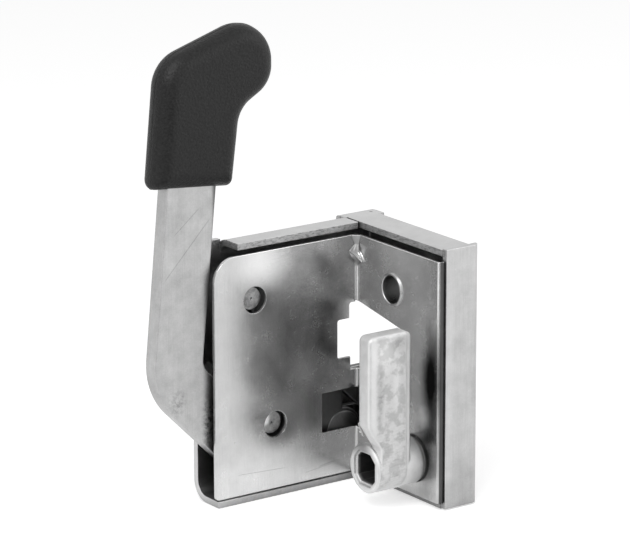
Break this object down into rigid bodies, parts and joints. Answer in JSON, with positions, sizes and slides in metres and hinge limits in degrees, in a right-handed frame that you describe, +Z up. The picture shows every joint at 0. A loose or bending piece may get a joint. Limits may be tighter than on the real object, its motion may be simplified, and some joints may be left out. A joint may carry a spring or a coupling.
{
  "type": "anti-burst lock",
  "caption": "L-shaped sheet steel lock for an inside corner; a hand lever on one arm swings a square-socketed tongue on the other arm out of the striker opening.",
  "frame": {"origin": "centre of the fixing hole, in the visible face of the cover's tongue arm", "axes": "+X out through the back of the tongue arm, along the fixing hole; -Y along the tongue arm away from the corner, +Y out through the back of the lever arm; +Z up"},
  "size_m": [0.1309, 0.0824, 0.2217],
  "materials": {
    "casing_zinc": "bright zinc plating on folded sheet",
    "cover_zinc": "bright smooth zinc plating",
    "lever_zinc": "satin zinc plating on flat bar",
    "cast_zinc": "zinc plating on a casting",
    "pin_steel": "riveted steel, plated",
    "spring_steel": "oiled spring wire",
    "grip_plastic": "fine-grained black plastic"
  },
  "bodies": {
    "casing": {"outer_casing": "casing_zinc", "inner_cover": "cover_zinc", "fixing_tube": "cover_zinc", "lever_pivot_pin": "pin_steel", "spring_anchor_pin": "pin_steel", "pivot_front_washer": "pin_steel", "pivot_rear_spacer": "pin_steel", "lever_spring": "spring_steel", "shaft_bush": "pin_steel"},
    "lever": {"hand_lever": "lever_zinc", "lever_grip": "grip_plastic", "lever_bush": "pin_steel", "link_rivet": "pin_steel", "link_washer": "pin_steel"},
    "link": {"connecting_link": "casing_zinc"},
    "tongue": {"locking_tongue": "cast_zinc", "crank_arm": "casing_zinc", "crank_pin": "pin_steel", "shaft_circlip": "spring_steel"}
  },
  "joints": [
    {"name": "lever_pivot", "type": "hinge", "parent": "casing", "child": "lever", "pos_m": [-0.0461, 0.035, -0.0625], "axis": [0, -1, 0], "range_deg": [0, 45], "stiffness_Nm_per_rad": 1, "springref_deg": -34.38, "deforming": ["lever_spring"]},
    {"name": "tongue_pivot", "type": "hinge", "parent": "casing", "child": "tongue", "pos_m": [0, -0.0153, -0.0766], "axis": [1, 0, 0], "range_deg": [0, 45]},
    {"name": "link_pivot", "type": "hinge", "parent": "lever", "child": "link", "pos_m": [-0.005, 0.038, -0.0737], "axis": [0, -1, 0], "range_deg": [-45, 0]}
  ],
  "couplings": [
    {"joint": "tongue_pivot", "follows": "lever_pivot", "ratio": 1},
    {"joint": "link_pivot", "follows": "lever_pivot", "ratio": -1}
  ]
}
